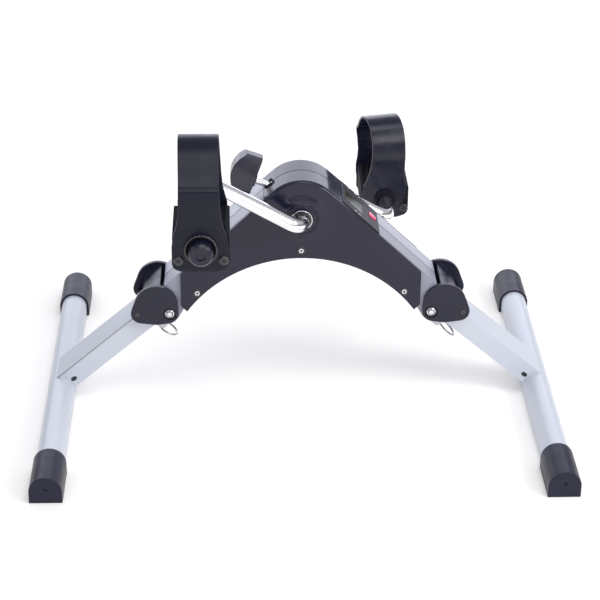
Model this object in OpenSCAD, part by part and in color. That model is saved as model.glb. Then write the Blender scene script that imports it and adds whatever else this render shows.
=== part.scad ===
// Folding pedal exerciser: a hinged A-frame with a spring-locked leg on each side,
// a bent-rod crank with two strapped pedals, a friction brake with a lever knob,
// and a display module on one slope. X runs foot to foot, Y along the axle, Z up.
// The origin is on the floor, at the middle of the footprint.

/* [Frame] */
// Half the distance between the two floor bars
bar_x = 232; // [230:1:236]
// Half the overall length of a floor bar with its rubber feet
bar_half = 200; // [180:1:220]
// Width of the rectangular leg tube
leg_w = 40; // [38:0.5:40]
// Slope of the leg tubes below level
leg_slope = 40.8; // [40:0.2:41.6]

/* [Housing] */
// Height of the crank axle above the floor
hub_z = 196; // [194:1:198]
// Radius of the arched housing top around the axle
arch_r = 37.5; // [37:0.5:38]
// Slope of the housing flanks below level
slope = 43.5; // [43:0.5:44]
// Radius of the arched cut-out under the housing
under_r = 132; // [128:1:135]

/* [Crank and pedals] */
// Crank radius from axle to pedal spindle
crank_r = 103.5; // [95:0.5:105]
// Direction of the near crank arm above +X
crank_angle = 150.3; // [145:0.1:155]
// Radius of the chrome crank rod
rod_r = 6.75; // [6.5:0.05:6.8]
// Depth position of the near crank arm
near_plane = 50; // [46:1:60]
// Depth position of the far crank arm
far_plane = 80; // [50:1:90]
// Height of the strap loop above the spindle
strap_h = 85; // [75:1:95]

/* [Hidden] */
$fn = 64;
e = 0.02;
web_in = 21.8;      // inner face of the frame's side webs
web_out = 23.6;     // outer face of the frame's side webs
cover_out = 26.6;   // outer face of the side covers
sheet = 1.8;        // sheet thickness of the frame shells
seam = 0.3;         // half the gap between the two halves of a shell
under_z = hub_z - 41 - under_r;
piv_x = 124.5;      // leg hinge axis
piv_z = 97;
leg_lo = -1.9;      // underside of the leg tube, from the hinge axis
leg_hi = 17.3;      // top of the leg tube, from the hinge axis
wall = 1.5;
lock_a = -24.5;     // direction of the lock plunger in the leg's frame
eye_r = 27.5;       // distance of the pull ring's eye from the hinge axis
bar_w = 25.2;
bar_top = 24;
bend_r = 14;
mid_y = 159.65;     // middle of a pedal along the axle
leg_y = 31.8;       // strap centreline beside the pedal, from its middle

silver = [0.82, 0.84, 0.87];
black = [0.20, 0.20, 0.24];
dark = [0.12, 0.12, 0.15];
chrome = [0.85, 0.86, 0.88];
steel = [0.62, 0.63, 0.65];
rubber = [0.24, 0.25, 0.30];

// ---- helpers -------------------------------------------------------------

// extrude an XZ outline from depth y0 to depth y1
module slab(y0, y1) {
  translate([0, y1, 0])
    rotate([90, 0, 0])
      linear_extrude(y1 - y0) children();
}

// a round bar along Y
module ybar(x, z, y0, y1, r) {
  translate([x, y0, z])
    rotate([-90, 0, 0])
      cylinder(h = y1 - y0, r = r);
}

// the near side is -Y, the far side +Y
module side(far) {
  mirror([0, far ? 1 : 0, 0]) children();
}

module both_sides() {
  children();
  mirror([0, 1, 0]) children();
}

module left_right() {
  children();
  mirror([1, 0, 0]) children();
}

// ---- housing outlines, drawn in XZ ----------------------------------------

// strip parallel to one flank: dir is 1 for the right flank, -1 for the left
module strip(dir, r0, r1, t0, t1) {
  mirror([dir < 0 ? 1 : 0, 0])
    translate([0, hub_z])
      rotate(-slope)
        translate([t0, r0])
          square([t1 - t0, r1 - r0]);
}

// the inverted V with its arched underside
module vee(r, t_end, x_end) {
  difference() {
    union() {
      translate([0, hub_z]) circle(r = r, $fn = 128);
      strip(1, -42, r, 0, t_end);
      strip(-1, -42, r, 0, t_end);
    }
    translate([0, under_z]) circle(r = under_r, $fn = 180);
    translate([x_end, 0]) square([200, 300]);
    translate([-x_end - 200, 0]) square([200, 300]);
    translate([-200, 0]) square([400, piv_z + 2]);
  }
}

// sheet that wraps over the axle and runs down each flank by tl and tr
module bow(r0, r1, tl, tr) {
  difference() {
    union() {
      translate([0, hub_z]) circle(r = r1, $fn = 128);
      strip(-1, -5, r1, 0, tl);
      strip(1, -5, r1, 0, tr);
    }
    translate([0, hub_z]) circle(r = r0, $fn = 128);
    strip(-1, -40, r0, 0, tl + 5);
    strip(1, -40, r0, 0, tr + 5);
    strip(-1, -60, 60, tl, tl + 80);
    strip(1, -60, 60, tr, tr + 80);
    translate([-100, hub_z - 100]) square([200, 100]);
  }
}

screw_spots = [[0, 163], [98, 119], [-98, 119]];

// ---- frame shells ----------------------------------------------------------

module frame_half() {
  difference() {
    union() {
      // side web with an ear round each hinge axis
      slab(-web_out, -web_in) {
        vee(arch_r - sheet, 142, 150);
        left_right()
          hull() {
            translate([piv_x, piv_z]) circle(r = 10, $fn = 32);
            strip(1, 14, arch_r - sheet - 1.2, 124, 140);
          }
      }
      // top flange, left flank, right flank past the display, and under the arch
      slab(-web_out, -seam) {
        strip(-1, arch_r - sheet - 0.4, arch_r, 13.2, 142.5);
        strip(1, arch_r - sheet - 0.4, arch_r, 65.3, 142.5);
      }
      slab(-web_in - 1, -seam) bow(arch_r - 2 * sheet - 0.2, arch_r - sheet - 0.2, 16, 16.5);
    }
    ybar(0, hub_z, -30, 0, 11.02);
    left_right() ybar(piv_x, piv_z, -30, 0, 3.6);
    for (s = screw_spots) ybar(s[0], s[1], -30, -15, 1.7);
    screw_path(4.2);
  }
}

module frame_near() { color(silver) frame_half(); }
module frame_far() { color(silver) mirror([0, 1, 0]) frame_half(); }

// ---- side covers -----------------------------------------------------------

module cover() {
  difference() {
    union() {
      slab(-cover_out, -web_out - 0.15) vee(arch_r - 0.3, 145, 113.5);
      // flared boss round the bushing
      translate([0, -cover_out + e, hub_z])
        rotate([90, 0, 0]) cylinder(h = 1.4, r1 = 24, r2 = 16.6, $fn = 96);
    }
    ybar(0, hub_z, -40, 0, 14.7);
    for (s = screw_spots) ybar(s[0], s[1], -30, 0, 1.75);
    for (s = screw_spots) ybar(s[0], s[1], -30, -cover_out + 0.6, 3.6);
  }
}

module cover_near() { color(black) cover(); }
module cover_far() { color(black) mirror([0, 1, 0]) cover(); }

// points along an arc round the axle
function arc(r, a0, a1) = [for (i = [0:30])
  let (a = a0 + (a1 - a0) * i / 30) [r * cos(a), hub_z + r * sin(a)]];

// point on a flank, t down from where it leaves the arc
function on_flank(dir, r, t) =
  [dir * (r * sin(slope) + t * cos(slope)), hub_z + r * cos(slope) - t * sin(slope)];

module arch() {
  r0 = arch_r - sheet;
  difference() {
    slab(-web_out, -seam)
      polygon(concat([on_flank(1, arch_r, 17)], arc(arch_r, 90 - slope, 90 + slope),
                     [on_flank(-1, arch_r, 13), on_flank(-1, r0, 13)],
                     arc(r0, 90 + slope, 90 - slope), [on_flank(1, r0, 17)]));
    screw_path(4.4);
  }
}

module arch_near() { color(black) arch(); }
module arch_far() { color(black) mirror([0, 1, 0]) arch(); }

module cover_screws() {
  color(steel)
    both_sides()
      for (s = screw_spots)
        difference() {
          union() {
            ybar(s[0], s[1], -cover_out - 0.7, -cover_out + 0.5, 3.2);
            ybar(s[0], s[1], -cover_out, -web_in + 1.5, 1.65);
          }
          for (a = [0, 90])
            translate([s[0], -cover_out - 0.7, s[1]])
              rotate([0, a, 0])
                cube([3.8, 1.2, 0.7], center = true);
        }
}

// ---- display module on the right flank --------------------------------------

// work in the flank's own frame: X down the flank, Y across, Z out of the face
module flank() {
  translate([0, 0, hub_z]) rotate([0, slope, 0]) children();
}

module block(x0, x1, y0, y1, z0, z1) {
  translate([x0, y0, z0]) cube([x1 - x0, y1 - y0, z1 - z0]);
}

face = 38.3;   // display face above the axle, square to the flank
btn = [52.6, 61.4, -2.9, 5.9];
win = [21, 44.5, -13, 9];

module display_case() {
  color(dark)
    flank()
      difference() {
        union() {
          block(17.2, 65.1, -web_out, web_out, 35.9, face);
          block(17.2, 65.1, -web_in + 0.2, web_in - 0.2, 26, 36);
        }
        block(19.2, 63.1, -19.6, 19.6, 25, 36.4);
        block(win[0], win[1], win[2], win[3], 30, 40);
        block(btn[0], btn[1], btn[2], btn[3], 30, 40);
      }
}

module display_lens() {
  color([0.15, 0.16, 0.10])
    flank() block(win[0] + 0.1, win[1] - 0.1, win[2] + 0.1, win[3] - 0.1, 36.5, face - 0.3);
}

module display_lcd() {
  color([0.35, 0.38, 0.28])
    flank() block(20.2, 45.5, -14, 10, 33.7, 36.2);
}

module display_board() {
  color([0.10, 0.35, 0.18])
    flank() block(20, 62.4, -18.8, 18.8, 31.9, 33.5);
}

module display_battery() {
  color(steel)
    flank() translate([34, 0, 27.6]) cylinder(h = 4.1, r = 12);
}

module display_button() {
  color([0.86, 0.25, 0.38])
    flank() {
      block(btn[0] + 0.2, btn[1] - 0.2, btn[2] + 0.2, btn[3] - 0.2, 36, face + 0.9);
      block(51.5, 62.5, -4, 7, 34.7, 36.2);
    }
}

// ---- axle bushings and brake --------------------------------------------------

module bushing() {
  difference() {
    union() {
      ybar(0, hub_z, -28, -web_out - 0.1, 14.5);
      ybar(0, hub_z, -web_out - 0.2, -14, 10.95);
    }
    ybar(0, hub_z, -40, 0, rod_r + 0.07);
  }
}

module bushing_near() { color(dark) bushing(); }
module bushing_far() { color(dark) mirror([0, 1, 0]) bushing(); }

// frame of the tension screw: Z out along the screw, X up its lever
screw_x = -30.7;
screw_z = hub_z + 22.8;
module tension_axis() {
  translate([screw_x, 0, screw_z]) rotate([0, -70, 0]) children();
}

module screw_path(r) {
  tension_axis() translate([0, 0, -8]) cylinder(h = 20, r = r);
}

module tension_bracket() {
  color(steel)
    tension_axis()
      difference() {
        block(-4.4, 4.4, -web_in + 0.1, web_in - 0.1, -12, -8);
        translate([0, 0, -20]) cylinder(h = 20, r = 3);
      }
}

module brake_shoe() {
  color([0.35, 0.22, 0.16])
    slab(-8, 8)
      difference() {
        intersection() {
          translate([0, hub_z]) circle(r = 21.8, $fn = 96);
          translate([0, hub_z])
            polygon([[0, 0], [60 * cos(95), 60 * sin(95)], [60 * cos(130), 60 * sin(130)],
                     [60 * cos(165), 60 * sin(165)]]);
        }
        translate([0, hub_z]) circle(r = 18.3, $fn = 96);
      }
}

module tension_screw() {
  color(chrome)
    tension_axis() translate([0, 0, -15.5]) cylinder(h = 41.5, r = 2.92);
}

module tension_knob() {
  color(black)
    tension_axis()
      difference() {
        union() {
          intersection() {
            block(-13, 25, -8, 8, 14, 38);
            // domed outer face
            translate([6, 20, 12.5]) rotate([90, 0, 0]) cylinder(h = 40, r = 25.5, $fn = 128);
            // rounded upright corners of the lever
            union() {
              for (x = [-9, 21], y = [-4, 4])
                translate([x, y, 0]) cylinder(h = 60, r = 4);
              block(-9, 21, -8, 8, 0, 60);
              block(-13, 25, -4, 4, 0, 60);
            }
          }
          translate([0, 0, 12.4]) cylinder(h = 2, r = 6);
        }
        cylinder(h = 26.2, r = 2.95);
      }
}

// ---- hinge knuckles ------------------------------------------------------------

module knuckle_outline() {
  hull() {
    translate([126.5, 97.5]) circle(r = 10.5, $fn = 32);
    translate([151, 97.5]) circle(r = 10.3, $fn = 32);
    translate([137, 106]) circle(r = 20.5, $fn = 32);
  }
}

stop_p = [piv_x + 30.7, piv_z - 0.7];

module knuckle() {
  difference() {
    union() {
      slab(-27.8, -web_out - 0.2) knuckle_outline();
      // half of the hood that bridges the hinge
      slab(-web_out - 0.2 - e, -0.1)
        difference() {
          intersection() {
            translate([piv_x, piv_z]) circle(r = 28.4, $fn = 96);
            translate([piv_x, piv_z])
              polygon([[0, 0], [80 * cos(20), 80 * sin(20)], [80 * cos(50), 80 * sin(50)],
                       [80 * cos(72), 80 * sin(72)]]);
          }
          translate([piv_x, piv_z]) circle(r = 26.4, $fn = 96);
        }
    }
    ybar(piv_x, piv_z, -40, 0, 3.6);
    ybar(piv_x, piv_z, -40, -25.8, 6);
    ybar(stop_p[0], stop_p[1], -40, 0, 2.15);
    ybar(stop_p[0], stop_p[1], -40, -26.6, 3.2);
  }
}

module knuckle_right_near() { color(dark) knuckle(); }
module knuckle_right_far() { color(dark) mirror([0, 1, 0]) knuckle(); }
module knuckle_left_near() { color(dark) mirror([1, 0, 0]) knuckle(); }
module knuckle_left_far() { color(dark) mirror([1, 0, 0]) mirror([0, 1, 0]) knuckle(); }

// notched disc that the lock plunger faces, carried by an arm from the shell's top
module latch() {
  difference() {
    slab(-4, 4)
      difference() {
        union() {
          translate([piv_x, piv_z]) circle(r = 13.4);
          translate([piv_x - 6, piv_z]) square([8, 26.2]);
        }
        translate([piv_x, piv_z])
          rotate(lock_a - leg_slope)
            translate([11.2, -2.8])
              square([10, 5.6]);
      }
    ybar(piv_x, piv_z, -40, 40, 3.6);
  }
}

module latch_right() { color(steel) latch(); }
module latch_left() { color(steel) mirror([1, 0, 0]) latch(); }

module pivot_bolts() {
  color(chrome)
    left_right() {
      ybar(piv_x, piv_z, -26, 27.6, 3.5);
      ybar(piv_x, piv_z, -27.2, -25.9, 4.5);
      translate([piv_x, -27.2, piv_z])
        rotate([90, 0, 0]) cylinder(h = 1.1, r1 = 4.5, r2 = 2.6);
    }
}

module pivot_nuts() {
  color(chrome)
    left_right()
      difference() {
        ybar(piv_x, piv_z, 25.9, 28.3, 4.9);
        ybar(piv_x, piv_z, 20, 27.7, 3.53);
      }
}

module pivot_spacers() {
  color([0.85, 0.85, 0.82])
    left_right()
      both_sides()
        difference() {
          ybar(piv_x, piv_z, -web_in + 0.1, -18.4, 7);
          ybar(piv_x, piv_z, -30, 0, 3.56);
        }
}

module stop_rivets() {
  color(steel)
    left_right() {
      ybar(stop_p[0], stop_p[1], -27.4, 27.4, 2.1);
      both_sides() ybar(stop_p[0], stop_p[1], -27.7, -26.65, 3.0);
    }
}

// ---- crank -----------------------------------------------------------------------

// bent rod: axle along +Z, arm along +X, spindle along +Z again
module bent_rod(plane, tip) {
  translate([0, 0, 0.3]) cylinder(h = plane - bend_r - 0.3, r = rod_r);
  translate([bend_r, 0, plane - bend_r])
    rotate([90, 0, 0]) rotate(90)
      rotate_extrude(angle = 90) translate([bend_r, 0]) circle(r = rod_r);
  translate([bend_r, 0, plane])
    rotate([0, 90, 0]) cylinder(h = crank_r - 2 * bend_r, r = rod_r);
  translate([crank_r - bend_r, 0, plane + bend_r])
    rotate([90, 0, 0]) rotate(270)
      rotate_extrude(angle = 90) translate([bend_r, 0]) circle(r = rod_r);
  translate([crank_r, 0, plane + bend_r]) cylinder(h = tip - plane - bend_r, r = rod_r);
}

module crank_near() {
  color(chrome)
    translate([0, 0, hub_z])
      rotate([0, -crank_angle, 0])
        rotate([90, 0, 0]) bent_rod(near_plane, 188.4);
}

module crank_far() {
  color(chrome)
    translate([0, 0, hub_z])
      rotate([0, 180 - crank_angle, 0])
        rotate([-90, 0, 0]) bent_rod(far_plane, 188.4);
}

module brake_drum() {
  color(steel)
    difference() {
      union() {
        ybar(0, hub_z, -9, 9, 18);
        ybar(0, hub_z, -13.5, 13.5, 10);
      }
      ybar(0, hub_z, -20, 20, rod_r + e);
      ybar(12.5 * cos(200), hub_z + 12.5 * sin(200), 5, 20, 3.02);
    }
}

module sensor_magnet() {
  color(dark)
    ybar(12.5 * cos(200), hub_z + 12.5 * sin(200), 5.1, 9.6, 3);
}

module axle_washers() {
  color(chrome)
    both_sides()
      difference() {
        ybar(0, hub_z, -30.4, -28.2, 10);
        ybar(0, hub_z, -40, 0, rod_r + e);
      }
}

sp_x = crank_r * cos(crank_angle);
sp_z = crank_r * sin(crank_angle);

// place a near-side pedal part, or turn it half round the axle for the far side
module at_pedal(far) {
  if (far)
    translate([-sp_x, 0, hub_z - sp_z]) mirror([0, 1, 0]) children();
  else
    translate([sp_x, 0, hub_z + sp_z]) children();
}

module pedal_clips() {
  color(steel)
    for (far = [false, true])
      at_pedal(far)
        difference() {
          ybar(0, 0, -188.6, -186.8, 8.4);
          ybar(0, 0, -200, 0, rod_r + e);
        }
}

// ---- pedals ------------------------------------------------------------------------

module pedal_section() {
  difference() {
    translate([-24, -20.5]) square([48, 31.5]);
    for (s = [-1, 1])
      difference() {
        translate([s > 0 ? 16 : -26, -22.5]) square([10, 10]);
        translate([s * 16, -12.5]) circle(r = 8);
      }
  }
}

module pedal_body() {
  difference() {
    union() {
      slab(-189.9, -129.4) pedal_section();
      // tread ribs
      for (x = [-21.2:5.3:21.2])
        block(x - 1.1, x + 1.1, -187, -132, 11 - e, 12.4);
      // inner boss and outer boss through the strap's holes
      ybar(0, 0, -129.5, -124, 10.4);
      ybar(0, 0, -193, -189.8, 10.4);
    }
    // moulding pockets under the tread
    for (y = [-186.6, -157.6])
      for (s = [-1, 1])
        block(s > 0 ? 11.5 : -21.5, s > 0 ? 21.5 : -11.5, y, y + 26, -30, 8);
    ybar(0, 0, -186.7, -100, rod_r + 0.07);
    ybar(0, 0, -200, -186.6, 8.6);
    for (s = [-1, 1])
      for (y = [[-195, -186.9], [-132.4, -120]])
        ybar(s * 19, -10, y[0], y[1], 1.62);
  }
}

module pedal_cap() {
  difference() {
    union() {
      ybar(0, 0, -203.6, -193.1, 10.3);
      translate([0, -203.6, 0]) rotate([90, 0, 0]) cylinder(h = 2.4, r1 = 10.3, r2 = 8.4);
      ybar(0, 0, -193.2, -189.4, 8.5);
      for (a = [0:15:345])
        rotate([0, a, 0]) block(9.9, 10.9, -202.6, -193.1, -0.7, 0.7);
    }
    ybar(0, 0, -207, -204.6, 4.2);
  }
}

// smooth path through the loop's control points, y then z
loop_pts = [[-leg_y, -32], [-leg_y, -20.5], [-leg_y, -7], [-leg_y, 8], [-leg_y, 21],
  [-leg_y - 2.4, 42], [-leg_y - 1.6, strap_h - 22], [-leg_y + 5, strap_h - 7],
  [-leg_y + 17, strap_h - 1.3], [-leg_y + 31, strap_h - 3.5], [-leg_y + 45, strap_h - 14],
  [-leg_y + 57, strap_h - 31], [leg_y + 0.8, 38], [leg_y, 21], [leg_y, 8], [leg_y, -7],
  [leg_y, -20.5], [leg_y, -32]];

function spline(a, b, c, d, t) =
  0.5 * (2 * b + (c - a) * t + (2 * a - 5 * b + 4 * c - d) * t * t
         + (3 * b - a - 3 * c + d) * t * t * t);

loop_path = [for (i = [1:len(loop_pts) - 3], k = [0:3])
  spline(loop_pts[i - 1], loop_pts[i], loop_pts[i + 1], loop_pts[i + 2], k / 4)];

function unit(v) = v / norm(v);

function side_line(p, off) = [for (i = [0:len(p) - 1])
  let (d = unit(p[min(i + 1, len(p) - 1)] - p[max(i - 1, 0)]))
  p[i] + off * [-d[1], d[0]]];

function reversed(p) = [for (i = [len(p) - 1:-1:0]) p[i]];

// half width of the strap against height
strap_w = [[-20.5, 24], [2, 24], [11, 22.6], [19, 19.6], [28, 17.4], [40, 16.5],
  [58, 16.3], [76, 16.8], [110, 17.2]];

module strap_front() {
  pts = concat([for (p = strap_w) [p[1], p[0]]],
               reversed([for (p = strap_w) [-p[1], p[0]]]));
  difference() {
    polygon(pts);
    for (s = [-1, 1])
      difference() {
        translate([s > 0 ? 16 : -26, -22.5]) square([10, 10]);
        translate([s * 16, -12.5]) circle(r = 8);
      }
  }
}

module pedal_strap() {
  difference() {
    intersection() {
      // band seen along X, mirrored so the crest leans to the axle side
      translate([-30, -mid_y, 0])
        rotate([90, 0, 90])
          linear_extrude(60)
            mirror([1, 0])
              polygon(concat(side_line(loop_path, 1.25), reversed(side_line(loop_path, -1.25))));
      slab(-230, -100) strap_front();
    }
    ybar(0, 0, -200, -180, 10.7);
    ybar(0, 0, -140, -120, 10.7);
    for (s = [-1, 1]) ybar(s * 19, -10, -210, -100, 1.75);
  }
}

module pedal_studs() {
  for (s = [-1, 1]) {
    ybar(s * 19, -10, -192.8, -187, 1.6);
    ybar(s * 19, -10, -194.2, -192.75, 3);
    ybar(s * 19, -10, -132.3, -126.5, 1.6);
    ybar(s * 19, -10, -126.55, -125.1, 3);
  }
}

module near_pedal_body() { color(dark) at_pedal(false) pedal_body(); }
module near_pedal_cap() { color(dark) at_pedal(false) pedal_cap(); }
module near_pedal_strap() { color(rubber) at_pedal(false) pedal_strap(); }
module near_pedal_studs() { color(dark) at_pedal(false) pedal_studs(); }
module far_pedal_body() { color(dark) at_pedal(true) pedal_body(); }
module far_pedal_cap() { color(dark) at_pedal(true) pedal_cap(); }
module far_pedal_strap() { color(rubber) at_pedal(true) pedal_strap(); }
module far_pedal_studs() { color(dark) at_pedal(true) pedal_studs(); }

// ---- legs ----------------------------------------------------------------------------

// leg frame: X down the leg from the hinge axis, Z square to its top face
module leg_frame() {
  translate([piv_x, 0, piv_z]) rotate([0, leg_slope, 0]) children();
}

// D section with a flat underside and a round top
module dee(w, z0, z1) {
  r = w / 2;
  intersection() {
    union() {
      translate([bar_x - r, z0]) square([w, z1 - r - z0]);
      translate([bar_x, z1 - r]) circle(r = r, $fn = 96);
    }
    translate([bar_x - w, z0]) square([2 * w, 2 * w]);
  }
}

module leg_tube() {
  difference() {
    leg_frame() block(14, 170, -leg_w / 2, leg_w / 2, leg_lo, leg_hi);
    leg_frame()
      block(13, 171, -leg_w / 2 + wall, leg_w / 2 - wall, leg_lo + wall, leg_hi - wall);
    slab(-50, 50) dee(bar_w + 0.1, 0, bar_top + 0.05);
    block(bar_x + 4.3, bar_x + 60, -50, 50, -60, 80);
    block(bar_x - bar_w / 2 + 0.4, bar_x + 60, -50, 50, -60, 13.5);
    // clearance notch at the underside by the floor bar
    block(bar_x - 21, bar_x + 2, -leg_w / 2 + 5, leg_w / 2 - 5, -20, 18);
  }
}

module leg_tang() {
  leg_frame()
    difference() {
      union() {
        both_sides()
          slab(-18.2, -15) {
            circle(r = 9);
            polygon([[0, -9], [9, -3.4], [13.6, -0.2], [48, -0.2], [48, 15.5], [14.5, 15.5],
                     [4, 8.2], [0, 9]]);
            // lobe that carries the lock barrel
            difference() {
              hull() {
                circle(r = 8.8, $fn = 32);
                rotate(lock_a) translate([17.5, 0]) circle(r = 4.2, $fn = 32);
              }
              translate([13.7, -2.1]) square([20, 20]);
            }
          }
        block(34, 48, -15 - e, 15 + e, 13.5, 15.5);
      }
      ybar(0, 0, -40, 40, 3.56);
    }
}

module floor_bar() {
  slab(-bar_half + 2.2, bar_half - 2.2)
    difference() {
      dee(bar_w, 2, bar_top);
      dee(bar_w - 2 * wall, 2 + wall, bar_top - wall);
    }
}

module foot_caps() {
  both_sides()
    difference() {
      slab(-bar_half, -bar_half + 50) dee(30, 0, 26.2);
      slab(-bar_half + 2.1, -bar_half + 51) dee(bar_w + 0.1, 1.95, bar_top + 0.05);
      ybar(bar_x, 14, -bar_half - 1, -bar_half + 1.4, 1.6);
    }
}

// frame of the lock plunger: Z outward from the hinge axis
module lock_axis() {
  leg_frame() rotate([0, 90 - lock_a, 0]) children();
}

module lock_body() {
  lock_axis()
    difference() {
      union() {
        translate([0, 0, 15.2]) cylinder(h = 7, r = 3.9);
        block(-3.2, 3.2, -14.95, 14.95, 16.2, 18.4);
      }
      translate([0, 0, 10]) cylinder(h = 20, r = 2.38);
      translate([0, 0, 16.2]) cylinder(h = 5, r = 3.3);
    }
}

// compression spring, drawn as its separate turns
module lock_spring() {
  lock_axis()
    for (z = [16.8:0.95:20.6])
      translate([0, 0, z])
        rotate_extrude() translate([2.85, 0]) circle(r = 0.35, $fn = 24);
}

module lock_pin() {
  lock_axis()
    difference() {
      union() {
        translate([0, 0, 13.9]) cylinder(h = 8.7, r = 2.3);
        translate([0, 0, 22.5]) cylinder(h = 1.4, r = 3.4);
        // flat eye for the ring
        translate([0, 0.8, 0])
          rotate([90, 0, 0])
            linear_extrude(1.6) {
              translate([-3, 23.6]) square([6, eye_r - 23.6]);
              translate([0, eye_r]) circle(r = 3.4);
            }
      }
      translate([0, 5, eye_r]) rotate([90, 0, 0]) cylinder(h = 10, r = 1.9);
    }
}

// ring hanging from the eye, its plane along the axle, leaned by the given angle
module pull_ring(lean) {
  eye = [piv_x + eye_r * cos(lock_a - leg_slope), 0, piv_z + eye_r * sin(lock_a - leg_slope)];
  translate(eye)
    rotate([0, -lean, 0])
      translate([0, 0, -9.8])
        rotate([0, 90, 0])
          rotate_extrude() translate([9.8, 0]) circle(r = 1, $fn = 24);
}

module right_leg_tube() { color(silver) leg_tube(); }
module right_leg_tang() { color(steel) leg_tang(); }
module right_floor_bar() { color(silver) floor_bar(); }
module right_foot_caps() { color(rubber) foot_caps(); }
module right_lock_body() { color(steel) lock_body(); }
module right_lock_spring() { color(steel) lock_spring(); }
module right_lock_pin() { color(chrome) lock_pin(); }
module right_pull_ring() { color(chrome) pull_ring(47); }
module left_leg_tube() { color(silver) mirror([1, 0, 0]) leg_tube(); }
module left_leg_tang() { color(steel) mirror([1, 0, 0]) leg_tang(); }
module left_floor_bar() { color(silver) mirror([1, 0, 0]) floor_bar(); }
module left_foot_caps() { color(rubber) mirror([1, 0, 0]) foot_caps(); }
module left_lock_body() { color(steel) mirror([1, 0, 0]) lock_body(); }
module left_lock_spring() { color(steel) mirror([1, 0, 0]) lock_spring(); }
module left_lock_pin() { color(chrome) mirror([1, 0, 0]) lock_pin(); }
module left_pull_ring() { color(chrome) mirror([1, 0, 0]) pull_ring(-60); }

frame_near();
frame_far();
cover_near();
cover_far();
arch_near();
arch_far();
cover_screws();
display_case();
display_lens();
display_lcd();
display_board();
display_battery();
display_button();
bushing_near();
bushing_far();
tension_bracket();
brake_shoe();
knuckle_left_near();
knuckle_left_far();
knuckle_right_near();
knuckle_right_far();
latch_left();
latch_right();
pivot_bolts();
pivot_nuts();
pivot_spacers();
stop_rivets();
tension_knob();
tension_screw();
crank_near();
crank_far();
brake_drum();
sensor_magnet();
axle_washers();
pedal_clips();
near_pedal_body();
near_pedal_cap();
near_pedal_strap();
near_pedal_studs();
far_pedal_body();
far_pedal_cap();
far_pedal_strap();
far_pedal_studs();
left_leg_tube();
left_leg_tang();
left_floor_bar();
left_foot_caps();
left_lock_body();
left_lock_spring();
left_lock_pin();
left_pull_ring();
right_leg_tube();
right_leg_tang();
right_floor_bar();
right_foot_caps();
right_lock_body();
right_lock_spring();
right_lock_pin();
right_pull_ring();
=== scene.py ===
import math

import bmesh
import bpy
from mathutils import Matrix, Vector


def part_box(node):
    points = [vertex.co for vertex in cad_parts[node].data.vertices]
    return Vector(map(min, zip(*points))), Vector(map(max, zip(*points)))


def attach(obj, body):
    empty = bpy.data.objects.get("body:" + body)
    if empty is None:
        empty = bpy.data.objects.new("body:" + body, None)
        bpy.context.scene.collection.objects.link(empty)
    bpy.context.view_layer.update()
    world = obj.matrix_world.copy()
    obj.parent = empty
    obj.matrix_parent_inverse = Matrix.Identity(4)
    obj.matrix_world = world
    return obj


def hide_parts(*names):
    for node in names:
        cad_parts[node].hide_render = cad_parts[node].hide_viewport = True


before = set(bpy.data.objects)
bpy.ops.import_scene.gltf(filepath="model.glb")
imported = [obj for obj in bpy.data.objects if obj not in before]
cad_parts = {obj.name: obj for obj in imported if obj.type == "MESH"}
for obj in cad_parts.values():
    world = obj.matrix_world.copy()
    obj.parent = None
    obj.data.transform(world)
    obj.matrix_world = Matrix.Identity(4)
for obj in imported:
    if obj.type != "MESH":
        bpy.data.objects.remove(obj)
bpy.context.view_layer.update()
scene = bpy.context.scene
MM = 0.001

# ---- camera ------------------------------------------------------------------

cam_data = bpy.data.cameras.new("camera")
cam_data.lens = 112.12
cam_data.sensor_width = 36
cam_data.clip_end = 60
camera = bpy.data.objects.new("camera", cam_data)
scene.collection.objects.link(camera)
right = Vector((0.999457, -0.032057, 0.007582))
up = Vector((0.008368, 0.469682, 0.882796))
back = Vector((-0.031861, -0.882254, 0.469695))
camera.matrix_world = Matrix(
    [
        (right.x, up.x, back.x, -0.05729),
        (right.y, up.y, back.y, -1.59030),
        (right.z, up.z, back.z, 0.94314),
        (0, 0, 0, 1),
    ]
)
scene.camera = camera
scene.view_settings.view_transform = "Standard"

# ---- materials -----------------------------------------------------------------


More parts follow.
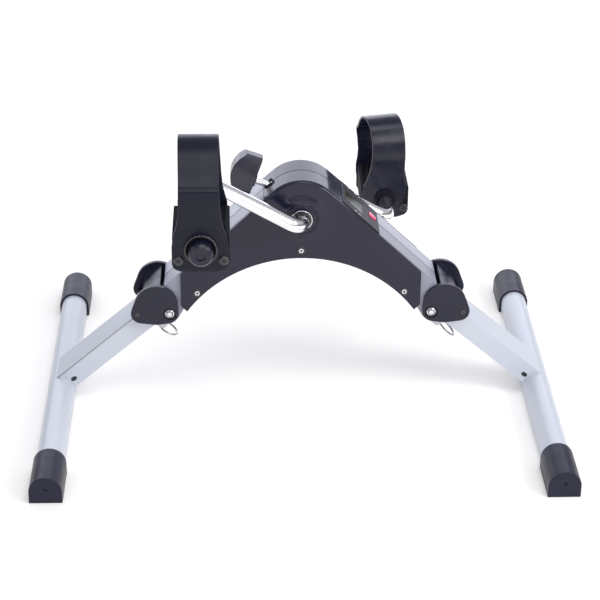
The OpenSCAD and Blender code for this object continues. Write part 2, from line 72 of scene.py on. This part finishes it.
class Graph:
    """A small helper that builds one node material."""

    def __init__(self, name):
        self.mat = bpy.data.materials.new(name)
        self.mat.use_nodes = True
        self.tree = self.mat.node_tree
        self.bsdf = self.tree.nodes["Principled BSDF"]
        self.coord = self.tree.nodes.new("ShaderNodeTexCoord").outputs["Object"]

    def node(self, kind, **props):
        n = self.tree.nodes.new(kind)
        for k, v in props.items():
            setattr(n, k, v)
        return n

    def link(self, a, b):
        self.tree.links.new(a, b)

    def put(self, key, value):
        self.bsdf.inputs[key].default_value = value

    def stretch(self, scale):
        m = self.node("ShaderNodeMapping")
        m.inputs["Scale"].default_value = scale
        self.link(self.coord, m.inputs["Vector"])
        return m.outputs["Vector"]

    def noise(self, scale, detail=3.0, rough=0.5, vector=None):
        n = self.node("ShaderNodeTexNoise")
        n.inputs["Scale"].default_value = scale
        n.inputs["Detail"].default_value = detail
        n.inputs["Roughness"].default_value = rough
        self.link(vector or self.coord, n.inputs["Vector"])
        return n.outputs["Fac"]

    def cells(self, scale, vector=None):
        n = self.node("ShaderNodeTexVoronoi", feature="SMOOTH_F1")
        n.inputs["Scale"].default_value = scale
        n.inputs["Smoothness"].default_value = 0.4
        self.link(vector or self.coord, n.inputs["Vector"])
        return n.outputs["Distance"]

    def remap(self, value, lo, hi, src=(0.3, 0.7)):
        n = self.node("ShaderNodeMapRange")
        n.inputs["From Min"].default_value = src[0]
        n.inputs["From Max"].default_value = src[1]
        n.inputs["To Min"].default_value = lo
        n.inputs["To Max"].default_value = hi
        self.link(value, n.inputs["Value"])
        return n.outputs["Result"]

    def blend(self, fac, a, b):
        n = self.node("ShaderNodeMix", data_type="RGBA")
        n.inputs["A"].default_value = (*a, 1)
        n.inputs["B"].default_value = (*b, 1)
        self.link(fac, n.inputs["Factor"])
        return n.outputs["Result"]

    def bump(self, height, strength, distance, below=None):
        n = self.node("ShaderNodeBump")
        n.inputs["Strength"].default_value = strength
        n.inputs["Distance"].default_value = distance
        self.link(height, n.inputs["Height"])
        if below:
            self.link(below, n.inputs["Normal"])
        return n.outputs["Normal"]

    def to(self, key, out):
        self.link(out, self.bsdf.inputs[key])


def scaled(color, k):
    return tuple(min(1.0, c * k) for c in color)


def paint(name, color, rough, metallic=0.0, flake=0.05, coat=0.3):
    """Sprayed enamel: faint flake, orange peel and uneven gloss."""
    g = Graph(name)
    g.to("Base Color", g.blend(g.remap(g.noise(2600, 1), 0, 1), scaled(color, 1 - flake), scaled(color, 1 + flake)))
    g.to("Roughness", g.remap(g.noise(14, 4, 0.6), rough - 0.05, rough + 0.06))
    peel = g.bump(g.noise(420, 2), 0.05, 0.0004)
    g.to("Normal", g.bump(g.noise(2200, 1), 0.03, 0.0001, peel))
    g.put("Metallic", metallic)
    g.put("Coat Weight", coat)
    g.put("Coat Roughness", 0.22)
    return g.mat


def plastic(name, color, rough, grain=0.10, grain_scale=1500, mottle=0.12, spec=0.5, coat=0.0):
    """Moulded plastic: spark-eroded grain, slightly uneven gloss and tone."""
    g = Graph(name)
    g.to("Base Color", g.blend(g.remap(g.noise(26, 5, 0.6), 0, 1), scaled(color, 1 - mottle), scaled(color, 1 + mottle)))
    g.to("Roughness", g.remap(g.noise(60, 5, 0.65), rough - 0.05, rough + 0.07))
    fine = g.bump(g.cells(grain_scale), grain, 0.0001)
    g.to("Normal", g.bump(g.noise(45, 2), 0.05, 0.0006, fine))
    g.put("Specular IOR Level", spec)
    g.put("Coat Weight", coat)
    g.put("Coat Roughness", 0.12)
    return g.mat


def rubber(name, color, rough, grain=0.2, spec=0.5):
    """Soft rubber: powdery bloom over a fine pebble."""
    g = Graph(name)
    bloom = g.remap(g.noise(34, 6, 0.7), 0, 1)
    g.to("Base Color", g.blend(bloom, scaled(color, 0.86), scaled(color, 1.22)))
    g.to("Roughness", g.remap(g.noise(90, 4, 0.6), rough - 0.06, rough + 0.06))
    pebble = g.bump(g.cells(1700), grain, 0.00015)
    g.to("Normal", g.bump(g.noise(120, 3), 0.06, 0.0005, pebble))
    g.put("Specular IOR Level", spec)
    return g.mat


def metal(name, color, rough, brush=None, brush_amount=0.03, smudge=0.03):
    """Bare metal: brush lines or fine polish marks, and uneven gloss."""
    g = Graph(name)
    g.put("Metallic", 1.0)
    vec = g.stretch(brush) if brush else g.coord
    lines = g.noise(900 if brush else 2400, 3, 0.6, vec)
    g.to("Base Color", g.blend(g.remap(g.noise(40, 4), 0, 1), scaled(color, 0.94), scaled(color, 1.02)))
    g.to("Roughness", g.remap(g.noise(70, 5, 0.6), max(0.02, rough - smudge), rough + smudge))
    g.to("Normal", g.bump(lines, brush_amount, 0.0001))
    return g.mat


leg_paint = paint("leg_paint", (0.565, 0.60, 0.675), 0.42, 0.0, 0.03, 0.25)
# the near and far frame halves are one silver paint: the near copy is darker as painted shade and the far copy lighter
# as painted reflection of the back light
shell_paint_near_shaded = paint("shell_paint_near_shaded", (0.27, 0.278, 0.345), 0.38, 0.0, 0.05, 0.35)
shell_paint_far_lit = paint("shell_paint_far_lit", (0.41, 0.42, 0.51), 0.38, 0.0, 0.05, 0.35)
cover_plastic = plastic("cover_plastic", (0.0120, 0.0118, 0.029), 0.15, 0.015, 1500, 0.10, 0.40)
dark_plastic = plastic("dark_moulding", (0.0085, 0.0090, 0.025), 0.30, 0.03, 1300, 0.12, 0.42)
knob_plastic = plastic("knob_plastic", (0.021, 0.021, 0.036), 0.19, 0.025, 1100, 0.12)
case_plastic = plastic("case_plastic", (0.030, 0.030, 0.042), 0.38, 0.06, 1500, 0.10, 0.26)
cap_rubber = rubber("foot_rubber", (0.0105, 0.0115, 0.029), 0.40, 0.10, 0.30)
chrome = metal("chrome_plate", (0.88, 0.88, 0.90), 0.16, None, 0.012, 0.02)
bolt_steel = metal("zinc_steel", (0.72, 0.73, 0.76), 0.22, None, 0.05, 0.05)
ring_steel = metal("ring_steel", (0.44, 0.44, 0.43), 0.24, None, 0.05, 0.05)
turned_steel = metal("turned_steel", (0.50, 0.51, 0.54), 0.32, (1, 12, 1), 0.08, 0.06)
nylon = plastic("nylon", (0.62, 0.62, 0.58), 0.45, 0.08, 900, 0.05)
lining = rubber("brake_lining", (0.10, 0.055, 0.03), 0.85, 0.5)
tread = rubber("pedal_tread", (0.010, 0.0105, 0.017), 0.75, 0.2, 0.12)
gloss_black = plastic("gloss_black", (0.010, 0.010, 0.014), 0.16, 0.03, 1500, 0.10, 0.6, 0.3)
ink = plastic("white_ink", (0.75, 0.75, 0.78), 0.5, 0.05, 2500, 0.05)
red_plastic = plastic("red_button", (0.80, 0.045, 0.16), 0.28, 0.05, 1500, 0.10, 0.5, 0.4)

lens = plastic("display_window", (0.020, 0.022, 0.010), 0.16, 0.01, 1500, 0.25, 0.12)
lcd = plastic("lcd_glass", (0.030, 0.031, 0.016), 0.28, 0.02, 1500, 0.15, 0.12)

board = plastic("circuit_board", (0.015, 0.11, 0.045), 0.35, 0.1, 500, 0.3)

LOOKS = {
    "frame_near": shell_paint_near_shaded, "frame_far": shell_paint_far_lit,
    "cover_near": cover_plastic, "cover_far": cover_plastic,
    "arch_near": cover_plastic, "arch_far": cover_plastic,
    "cover_screws": gloss_black, "display_case": case_plastic, "display_lens": lens,
    "display_lcd": lcd, "display_board": board, "display_battery": bolt_steel,
    "display_button": red_plastic, "bushing_near": dark_plastic, "bushing_far": dark_plastic,
    "tension_bracket": turned_steel, "brake_shoe": lining,
    "knuckle_left_near": dark_plastic, "knuckle_left_far": dark_plastic,
    "knuckle_right_near": dark_plastic, "knuckle_right_far": dark_plastic,
    "latch_left": turned_steel, "latch_right": turned_steel, "pivot_bolts": bolt_steel,
    "pivot_nuts": bolt_steel, "pivot_spacers": nylon, "stop_rivets": gloss_black,
    "tension_knob": knob_plastic, "tension_screw": chrome,
    "crank_near": chrome, "crank_far": chrome, "brake_drum": turned_steel,
    "sensor_magnet": dark_plastic, "axle_washers": gloss_black, "pedal_clips": turned_steel,
}
for which in ("near", "far"):
    LOOKS[which + "_pedal_body"] = tread
    LOOKS[which + "_pedal_cap"] = dark_plastic
    LOOKS[which + "_pedal_studs"] = dark_plastic
for which in ("left", "right"):
    LOOKS[which + "_leg_tube"] = leg_paint
    LOOKS[which + "_leg_tang"] = turned_steel
    LOOKS[which + "_floor_bar"] = leg_paint
    LOOKS[which + "_foot_caps"] = cap_rubber
    LOOKS[which + "_lock_body"] = turned_steel
    LOOKS[which + "_lock_spring"] = bolt_steel
    LOOKS[which + "_lock_pin"] = chrome
    LOOKS[which + "_pull_ring"] = ring_steel

ROUND = {  # edge radius in millimetres
    "frame_near": 0.9, "frame_far": 0.9, "cover_near": 0.9, "cover_far": 0.9,
    "arch_near": 0.35, "arch_far": 0.35, "display_case": 0.6, "display_button": 0.8,
    "tension_knob": 1.6, "knuckle_left_near": 1.1, "knuckle_left_far": 1.1,
    "knuckle_right_near": 1.1, "knuckle_right_far": 1.1,
    "left_leg_tube": 1.6, "right_leg_tube": 1.6, "left_foot_caps": 0.9, "right_foot_caps": 0.9,
    "left_floor_bar": 1.0, "right_floor_bar": 1.0, "near_pedal_body": 0.6, "far_pedal_body": 0.6,
    "near_pedal_cap": 0.3, "far_pedal_cap": 0.3, "near_pedal_studs": 0.4, "far_pedal_studs": 0.4,
    "cover_screws": 0.15, "pivot_bolts": 0.25, "pivot_nuts": 0.3,
}

for name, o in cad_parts.items():
    if name.endswith("_strap") or name.startswith("cover_near") or name.startswith("cover_far"):
        continue
    look = LOOKS[name]
    o.data.materials.clear()
    o.data.materials.append(look)
    weld = o.modifiers.new("weld", "WELD")
    weld.merge_threshold = 2e-6
    flat = o.modifiers.new("flat", "DECIMATE")
    flat.decimate_type = "DISSOLVE"
    flat.angle_limit = math.radians(0.3)
    bevel = o.modifiers.new("round", "BEVEL")
    bevel.width = ROUND.get(name, 0.25) * MM
    bevel.segments = 3 if name in ROUND else 2
    bevel.limit_method = "ANGLE"
    bevel.angle_limit = math.radians(28)
    bevel.use_clamp_overlap = True
    smooth = o.modifiers.new("normals", "WEIGHTED_NORMAL")
    smooth.keep_sharp = False
    smooth.weight = 100


# ---- new pieces ------------------------------------------------------------------


def mesh_piece(name, verts, faces, material, body, smooth=True):
    mesh = bpy.data.meshes.new(name)
    mesh.from_pydata(verts, [], faces)
    mesh.validate()
    if smooth:
        mesh.shade_smooth()
    mesh.materials.append(material)
    o = bpy.data.objects.new(name, mesh)
    scene.collection.objects.link(o)
    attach(o, body)
    return o


def lathe(name, profile, at, sign, material, body, steps=96):
    """Turned piece: profile is (radius, distance out along Y) in mm; at is its (x, y, z) in mm."""
    verts, faces = [], []
    n = len(profile)
    for i in range(steps):
        a = 2 * math.pi * i / steps
        for r, d in profile:
            verts.append(((at[0] + r * math.cos(a)) * MM, (at[1] + sign * d) * MM, (at[2] + r * math.sin(a)) * MM))
    for i in range(steps):
        j = (i + 1) % steps
        for k in range(n - 1):
            faces.append((i * n + k, i * n + k + 1, j * n + k + 1, j * n + k))
    if profile[0][0] > 0.01 and profile[-1][0] > 0.01:
        for i in range(steps):
            j = (i + 1) % steps
            faces.append((i * n + n - 1, i * n, j * n, j * n + n - 1))
    return crisp(tidy(mesh_piece(name, verts, faces, material, body)))


def crisp(o):
    """Keep the corners sharper than 40 degrees sharp and shade the rest smoothly."""
    o.data.set_sharp_from_angle(angle=math.radians(40))
    return o


def tidy(o, merge=1e-6):
    bm = bmesh.new()
    bm.from_mesh(o.data)
    bmesh.ops.remove_doubles(bm, verts=bm.verts, dist=merge)
    bmesh.ops.dissolve_degenerate(bm, dist=merge, edges=bm.edges)
    bmesh.ops.recalc_face_normals(bm, faces=bm.faces)
    bm.to_mesh(o.data)
    bm.free()
    return o


def weighted(o, weight=80):
    m = o.modifiers.new("normals", "WEIGHTED_NORMAL")
    m.weight = weight
    m.keep_sharp = False


def cover_piece(name, node, sign, material):
    """The side cover with the broad rounding along its outer front edge."""
    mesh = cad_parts[node].data.copy()
    mesh.name = name
    o = bpy.data.objects.new(name, mesh)
    scene.collection.objects.link(o)
    mesh.materials.clear()
    mesh.materials.append(material)
    bm = bmesh.new()
    bm.from_mesh(mesh)
    bmesh.ops.remove_doubles(bm, verts=bm.verts, dist=2e-6)
    bmesh.ops.dissolve_limit(bm, angle_limit=math.radians(0.4), verts=bm.verts, edges=bm.edges)
    face_y = 26.6 * MM
    hub = Vector((0, 196 * MM))
    under = Vector((0, 23 * MM))

    def rim(e, which):
        for v in e.verts:
            if abs(v.co.y * sign - face_y) > 1e-5:
                return False
            flat = Vector((v.co.x, v.co.z))
            low = abs((flat - under).length - 132 * MM) < 0.3 * MM
            if (flat - hub).length < 30 * MM or v.co.z < 100 * MM:
                return False
            if which == "top" and (low or abs(v.co.x) > 113.4 * MM):
                return False
        mid = (e.verts[0].co + e.verts[1].co) / 2
        near_screw = min((Vector((mid.x, mid.z)) - Vector((x * MM, z * MM))).length for x, z in ((0, 163), (98, 119), (-98, 119)))
        return near_screw > 5 * MM and len(e.link_faces) == 2 and e.calc_face_angle(0) > 0.5

    top = [e for e in bm.edges if rim(e, "top")]
    bmesh.ops.bevel(bm, geom=top, offset=2.7 * MM, segments=6, profile=0.5, affect="EDGES", clamp_overlap=True)
    sharp = [e for e in bm.edges if len(e.link_faces) == 2 and e.calc_face_angle(0) > 0.5]
    bmesh.ops.bevel(bm, geom=sharp, offset=0.3 * MM, segments=2, profile=0.5, affect="EDGES", clamp_overlap=True)
    bm.to_mesh(mesh)
    bm.free()
    if mesh.has_custom_normals:
        bpy.context.view_layer.objects.active = o
        with bpy.context.temp_override(object=o, active_object=o):
            bpy.ops.mesh.customdata_custom_splitnormals_clear()
    mesh.shade_smooth()
    weighted(o, 90)
    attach(o, "frame")
    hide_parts(node)
    return o


cover_piece("cover_shell_near", "cover_near", -1, cover_plastic)
cover_piece("cover_shell_far", "cover_far", 1, cover_plastic)
HUB_FLARE = [(32.0, -0.3), (32.0, 0.01), (30.0, 0.05), (28.0, 0.16), (25.5, 0.36), (23.4, 0.74), (21.6, 1.22),
             (20.0, 1.62), (18.6, 1.84), (17.4, 1.90), (16.2, 1.84), (15.4, 1.6), (15.0, 1.2), (14.9, 0.4), (14.9, -0.3)]
for side, sign in (("near", -1), ("far", 1)):
    lathe("hub_flare_" + side, HUB_FLARE, (0, sign * 26.6, 196), sign, cover_plastic, "frame", 128)

# recessed screw faces, bolt collars and grooves on the outer sides
SCREW_FACE = [(1.15, 0.4), (1.15, 0.86), (1.4, 0.98), (2.0, 0.98), (2.3, 0.84), (2.3, 0.4)]
SCREW_CUP = [(3.25, 0.2), (3.25, 0.55), (3.6, 0.62), (4.1, 0.4), (4.3, -0.1)]
BOLT_CUP = [(4.25, 0.2), (4.3, 0.85), (4.7, 0.95), (5.3, 0.6), (5.5, -0.1)]
BOLT_GROOVE = [(2.35, 1.4), (2.4, 1.82), (2.75, 1.86), (3.15, 1.5), (3.2, 1.2)]
for side, sign in (("near", -1), ("far", 1)):
    for spot, x, z in (("top", 0, 163), ("right", 98, 119), ("left", -98, 119)):
        at = (x, sign * 26.6, z)
        lathe("_".join(("screw_face", side, spot)), SCREW_FACE, at, sign, bolt_steel, "frame", 32)
        lathe("_".join(("screw_cup", side, spot)), SCREW_CUP, at, sign, gloss_black, "frame", 40)
for spot, x in (("left", -124.5), ("right", 124.5)):
    at = (x, -26.6, 97)
    lathe("bolt_cup_" + spot, BOLT_CUP, at, -1, gloss_black, "frame", 48)
    lathe("bolt_groove_" + spot, BOLT_GROOVE, at, -1, gloss_black, "frame", 48)


def oval(name, profile, at, across, along, rx, ry, material, body, steps=48):
    """Oval fitting: profile is (share of the radius, height) and across x along gives its outward side."""
    across, along = Vector(across).normalized(), Vector(along).normalized()
    out = across.cross(along)
    verts, faces = [], []
    n = len(profile)
    for i in range(steps):
        a = 2 * math.pi * i / steps
        for k, d in profile:
            verts.append((Vector(at) + across * k * rx * math.cos(a) + along * k * ry * math.sin(a) + out * d) * MM)
    for i in range(steps):
        j = (i + 1) % steps
        for k in range(n - 1):
            faces.append((i * n + k, i * n + k + 1, j * n + k + 1, j * n + k))
    return crisp(tidy(mesh_piece(name, verts, faces, material, body)))


# open end of each leg tube shows as a small dark slot beside the floor bar: a dark plate standing in for the shade
# inside the tube, painted shade
SLOT_RIM = [(1.0, -0.3), (1.0, 0.05), (0.9, 0.12), (0.8, 0.08), (0.7, 0.02), (0.35, 0.01), (0.0, 0.01)]
lean = math.radians(40.8)
oval("right_tube_slot", SLOT_RIM, (219.3, -20, 22.8), (math.cos(lean), 0, -math.sin(lean)),
     (math.sin(lean), 0, math.cos(lean)), 3.3, 2.3, gloss_black, "right_leg")
oval("left_tube_slot", SLOT_RIM, (-219.3, -20, 22.8), (math.cos(lean), 0, math.sin(lean)),
     (-math.sin(lean), 0, math.cos(lean)), 3.3, 2.3, gloss_black, "left_leg")
# fine dark line along the near top edge of the left leg
line, dark_line = [], paint("edge_line", (0.17, 0.18, 0.215), 0.5, 0.0, 0.05, 0.0)
for t in (27, 60, 100, 138):
    x = -(124.5 + math.cos(lean) * t + math.sin(lean) * 17.3)
    z = 97 - math.sin(lean) * t + math.cos(lean) * 17.3
    for dy, dn in ((-0.06, -0.95), (-0.12, -0.55), (0.02, -0.15), (0.42, 0.03), (0.75, 0.03), (0.75, -0.4)):
        line.append(((x - math.sin(lean) * dn) * MM, (-20 + dy) * MM, (z + math.cos(lean) * dn) * MM))
faces = [(0, 1, 2, 3, 4, 5), tuple(len(line) - 6 + k for k in range(6))]
faces += [(i * 6 + k, i * 6 + (k + 1) % 6, i * 6 + 6 + (k + 1) % 6, i * 6 + 6 + k) for i in range(3) for k in range(6)]
tidy(mesh_piece("left_leg_edge", line, faces, dark_line, "left_leg"))
# dark grommet where the tension screw enters the housing
GROMMET = [(1.0, -1.6), (1.0, 0.1), (0.9, 0.3), (0.72, 0.25), (0.62, -0.4), (0.0, -0.5)]
oval("screw_grommet", GROMMET, (-29.0, 0, 219.8), (0, 1, 0), (0.62, 0, 0.785), 5.0, 5.2, gloss_black, "frame")


def seam_shade_strip(name, path, material):
    """Thin dark strip in the gap between the near and far halves, painted shade standing in for the shadow in that
    gap: path is (x, z, nx, nz) in mm.
    """
    verts, faces = [], []
    for x, z, nx, nz in path:
        for y, d in ((-0.52, -1.0), (-0.52, 0.0), (-0.26, 0.07), (0.26, 0.07), (0.52, 0.0), (0.52, -1.0)):
            verts.append(((x + nx * d) * MM, y * MM, (z + nz * d) * MM))
    for i in range(len(path) - 1):
        for k in range(6):
            a, b = i * 6 + k, i * 6 + (k + 1) % 6
            faces.append((a, b, b + 6, a + 6))
    faces.append((0, 1, 2, 3, 4, 5))
    faces.append(tuple(len(verts) - 6 + k for k in range(6)))
    return tidy(mesh_piece(name, verts, faces, material, "frame"))


SHELL_R, SLOPE = 37.5, math.radians(43.5)


def flank_point(side, t):
    nx, nz = side * math.sin(SLOPE), math.cos(SLOPE)
    return (SHELL_R * nx + side * t * nz, 196 + SHELL_R * nz - t * abs(nx), nx, nz)


turn = [math.pi / 2 + SLOPE - 2 * SLOPE * k / 40 for k in range(41)]
# dark strips along the seam between the halves: painted shade for the gap
seam_shade_strip("seam_left", [flank_point(-1, 142.3), flank_point(-1, 70), flank_point(-1, 13.3)], tread)
seam_shade_strip("seam_arch", [flank_point(-1, 12.8), flank_point(-1, 6)]
          + [(SHELL_R * math.cos(a), 196 + SHELL_R * math.sin(a), math.cos(a), math.sin(a)) for a in turn]
          + [flank_point(1, 8), flank_point(1, 16.7)], tread)
seam_shade_strip("seam_right", [flank_point(1, 66), flank_point(1, 100), flank_point(1, 142.3)], tread)


def box_dashes(name, dashes, material, body, low=38.2, high=38.42):
    """Flat boxes on the display slope, for the printed dashes on the display face and the painted-shade strip in the
    case gap: (t, y, half length along t, half width along y) in mm.
    """
    s, c = math.sin(math.radians(43.5)), math.cos(math.radians(43.5))
    verts, faces = [], []
    for t0, y0, ht, hy in dashes:
        base = len(verts)
        for d in (low, high):
            for a, b in ((-1, -1), (1, -1), (1, 1), (-1, 1)):
                t, y = t0 + a * ht, y0 + b * hy
                verts.append(((t * c + d * s) * MM, y * MM, (196 + d * c - t * s) * MM))
        for q in ((0, 3, 2, 1), (4, 5, 6, 7), (0, 1, 5, 4), (1, 2, 6, 5), (2, 3, 7, 6), (3, 0, 4, 7)):
            faces.append(tuple(base + k for k in q))
    return tidy(mesh_piece(name, verts, faces, material, body, smooth=False))


box_dashes("display_marks", [(27, 20.6, 1.3, 0.5), (36, 20.6, 1.6, 0.5), (41, 20.6, 1.2, 0.5),
                             (33.5, -20.4, 1.3, 0.5), (38.5, -20.4, 1.5, 0.5)], ink, "frame")
# dark strip in the gap between the cap over the axle and the display case: painted shade for that gap
box_dashes("case_gap_shade", [(17.1, 0, 0.5, 23.4)], tread, "frame", 36.4, 37.72)
# bright rim of the washer round the axle
WASHER_RIM = [(9.3, 0.9), (9.35, 1.9), (9.7, 2.03), (10.08, 1.9), (10.12, 0.9)]
for side, sign in (("near", -1), ("far", 1)):
    lathe("washer_rim_" + side, WASHER_RIM, (0, sign * 28.6, 196), sign, bolt_steel, "crank", 96)


def catmull(p, n):
    out = []
    for i in range(1, len(p) - 2):
        a, b, c, d = p[i - 1], p[i], p[i + 1], p[i + 2]
        for k in range(n):
            t = k / n
            out.append(
                tuple(
                    0.5 * (2 * b[j] + (c[j] - a[j]) * t + (2 * a[j] - 5 * b[j] + 4 * c[j] - d[j]) * t * t
                           + (3 * b[j] - a[j] - 3 * c[j] + d[j]) * t ** 3)
                    for j in range(2)
                )
            )
    out.append(tuple(p[-2]))
    return out


# strap loop: u across the pedal, positive away from the hub, and z above the spindle
HUB_LEG = [(-31.8, -34), (-31.8, -20.5), (-31.8, -6), (-31.9, 8), (-32.6, 20), (-34.0, 31), (-35.2, 40), (-35.5, 46)]
CREST = [(-34.7, 54), (-32.2, 65), (-27.2, 76), (-20.5, 82), (-12, 83.9), (-3, 82.4), (6, 77.6), (14.5, 70.2),
         (22.5, 61.8), (28.9, 56.2)]
OUTER_LEG = [(33.4, 52.6), (34.6, 46), (34.2, 36), (33.0, 22), (32.1, 8), (31.8, -6), (31.8, -20.5), (31.8, -34)]
HALF_WIDTH = [(-20.5, 23.8), (2, 23.8), (11, 22.7), (19, 20.2), (28, 18.2), (40, 17.3), (58, 17.0), (76, 17.1), (110, 17.2)]


def half_width(z):
    w = HALF_WIDTH[-1][1]
    for (z0, w0), (z1, w1) in zip(HALF_WIDTH, HALF_WIDTH[1:]):
        if z <= z1:
            t = max(0.0, (z - z0) / (z1 - z0))
            w = w0 + (w1 - w0) * t
            break
    if z < -12.5:
        w = 16 + math.sqrt(max(0.0, 64 - (-12.5 - z) ** 2))
    return w


def strap(name, body, far, material, twist=0.0, lean=0.0, sag=0.0, shift=0.0, skew=0.0):
    path = catmull(HUB_LEG + CREST + OUTER_LEG, 8)
    path = [p for p in path if p[1] >= -20.5 - 1e-6]
    # finer steps at the rounded lower corners come from the spline itself
    lo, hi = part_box(("far" if far else "near") + "_pedal_cap")
    cx, cz = (lo.x + hi.x) / 2 / MM, (lo.z + hi.z) / 2 / MM
    half_t, r = 1.25, 0.75
    ring = []
    for sx, st in ((1, 1), (-1, 1), (-1, -1), (1, -1)):
        for k in range(4):
            a = math.radians(30 * k)
            ca, sa = (math.cos(a), math.sin(a)) if sx * st > 0 else (math.sin(a), math.cos(a))
            ring.append((sx, st, r * (ca - 1), r * (sa - 1)))
    verts, faces = [], []
    n = len(ring)
    for i, p in enumerate(path):
        a, b = path[max(i - 1, 0)], path[min(i + 1, len(path) - 1)]
        d = Vector((b[0] - a[0], b[1] - a[1])).normalized()
        nrm = Vector((-d.y, d.x))
        hubward = min(1.0, max(0.0, -p[0] / 12))
        w = half_width(p[1])
        w -= hubward * max(0.0, w - 21.5)
        for sx, st, dw, dt in ring:
            off = st * (half_t + dt)
            u, z = p[0] + nrm.x * off, p[1] + nrm.y * off
            k = min(1.0, max(0.0, (z + 4) / 88))
            a = math.radians(twist) * k * (1.6 - 0.6 * k)
            x = sx * (w + dw)
            x, u = x * math.cos(a) - u * math.sin(a) + lean * k * k, x * math.sin(a) + u * math.cos(a)
            z -= sag * k ** 3
            y = 159.65 + u if far else -159.65 - u
            x += shift + skew * hubward * (1 - k)
            verts.append(((cx + x) * MM, y * MM, (cz + z) * MM))
    for i in range(len(path) - 1):
        for k in range(n):
            a, b = i * n + k, i * n + (k + 1) % n
            faces.append((a, b, b + n, a + n))
    faces.append(tuple(reversed(range(n))))
    faces.append(tuple(range(len(verts) - n, len(verts))))
    o = mesh_piece(name, verts, faces, material, body)
    bm = bmesh.new()
    bm.from_mesh(o.data)
    bmesh.ops.recalc_face_normals(bm, faces=bm.faces)
    bm.to_mesh(o.data)
    bm.free()
    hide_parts(("far" if far else "near") + "_pedal_strap")
    smooth = o.modifiers.new("normals", "WEIGHTED_NORMAL")
    smooth.weight = 60
    return o


# the near and far straps are one rubber: the near copy is darker and less glossy as painted shade, the far copy
# lighter and glossier as painted light
strap_rubber_near_shaded = rubber("strap_rubber_near_shaded", (0.0050, 0.0060, 0.0155), 0.33, 0.06, 0.25)
strap("near_strap_loop", "near_pedal", False, strap_rubber_near_shaded, lean=-0.9, sag=1.3, shift=-0.7, skew=1.6)
far_strap_rubber_lit = rubber("strap_rubber_far_lit", (0.0078, 0.0085, 0.021), 0.27, 0.04, 0.38)
strap("far_strap_loop", "far_pedal", True, far_strap_rubber_lit, twist=14, lean=-5.2, sag=4.4, shift=-1.3, skew=-1.6)

# knurled collar and screw-head studs round each pedal's outer boss
for side, sign in (("near", -1), ("far", 1)):
    lo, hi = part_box(side + "_pedal_cap")
    px, pz = (lo.x + hi.x) / 2 / MM, (lo.z + hi.z) / 2 / MM
    body = side + "_pedal"
    verts, faces = [], []
    teeth, rings = 120, [(12.4, 192.7), (14.2, 192.9), (14.6, 193.5), (14.5, 194.6), (13.9, 195.2), (11.2, 195.4)]
    for i in range(teeth):
        a = 2 * math.pi * i / teeth
        cut = 0.45 if (i // 2) % 2 else 0.0
        for r, d in rings:
            rr = r - (cut if r > 13.5 else 0.0)
            verts.append(((px + rr * math.cos(a)) * MM, sign * d * MM, (pz + rr * math.sin(a)) * MM))
    n = len(rings)
    for i in range(teeth):
        j = (i + 1) % teeth
        for k in range(n - 1):
            faces.append((i * n + k, i * n + k + 1, j * n + k + 1, j * n + k))
        faces.append((i * n + n - 1, i * n, j * n, j * n + n - 1))
    weighted(tidy(mesh_piece(side + "_cap_collar", verts, faces, gloss_black, body)), 60)
    for end, sx in (("left", -1), ("right", 1)):
        for leg, (d, flip) in (("outer", (192.7, 1)), ("hub", (126.6, -1))):
            prof = [(4.3, -0.2), (4.3, 0.7), (4.05, 1.15), (3.5, 1.5), (2.6, 1.72), (1.9, 1.62), (1.6, 1.1), (0.9, 0.75), (0.0, 0.7)]
            lathe("_".join((side, leg, end, "stud")), prof, (px + sx * 19, sign * d, pz - 10), sign * flip, gloss_black, body, 40)

# ---- floor, light -------------------------------------------------------------------

bpy.ops.mesh.primitive_grid_add(x_subdivisions=2, y_subdivisions=2, size=40, location=(0, 0, -0.0002))
floor = bpy.context.object
floor.name = "floor"
g = Graph("floor_white")
g.to("Base Color", g.blend(g.remap(g.noise(3, 2), 0, 1), (0.985, 0.965, 0.93), (0.99, 0.97, 0.935)))
g.put("Roughness", 0.9)
g.put("Specular IOR Level", 0.1)
g.put("Emission Color", (1, 1, 1, 1))
g.put("Emission Strength", 0.13)
floor.data.materials.append(g.mat)

world = bpy.data.worlds.new("studio")
scene.world = world
world.use_nodes = True
wt = world.node_tree
bg = wt.nodes["Background"]
coord = wt.nodes.new("ShaderNodeTexCoord")
split = wt.nodes.new("ShaderNodeSeparateXYZ")
wt.links.new(coord.outputs["Generated"], split.inputs[0])
ramp = wt.nodes.new("ShaderNodeValToRGB")
wt.links.new(split.outputs["Z"], ramp.inputs["Fac"])
ramp.color_ramp.elements[0].color = (0.16, 0.16, 0.18, 1)
ramp.color_ramp.elements[1].color = (0.78, 0.79, 0.86, 1)
for pos, val in ((0.12, 0.16), (0.20, 0.84), (0.55, 0.90)):
    el = ramp.color_ramp.elements.new(pos)
    el.color = (val, val * 1.005, val * 1.06, 1)
wt.links.new(ramp.outputs["Color"], bg.inputs["Color"])
bg.inputs["Strength"].default_value = 0.6


def softbox(name, location, target, size, power, color=(1, 1, 1)):
    light = bpy.data.lights.new(name, "AREA")
    light.shape = "RECTANGLE"
    light.size, light.size_y = size
    light.energy = power
    light.color = color
    o = bpy.data.objects.new(name, light)
    o.location = location
    o.rotation_euler = (Vector(target) - Vector(location)).to_track_quat("-Z", "Y").to_euler()
    o.visible_camera = False
    scene.collection.objects.link(o)
    return o


COOL = (0.93, 0.96, 1.10)
softbox("top_box", (0.35, -0.7, 2.2), (0, 0, 0.1), (1.5, 1.2), 16)
softbox("left_box", (-2.2, -0.4, 1.1), (0, 0, 0.15), (1.0, 1.2), 3.5)
softbox("right_box", (1.8, -1.0, 1.35), (0, 0, 0.15), (0.9, 0.8), 17)
softbox("corner_box", (1.38, -1.77, 1.05), (0, 0, 0.18), (0.8, 0.6), 7)
softbox("back_box", (-0.1, 2.3, 0.80), (0, 0, 0.35), (2.8, 1.6), 28, COOL)
softbox("front_box", (0.1, -2.4, 0.62), (0, 0, 0.15), (1.8, 0.6), 6)
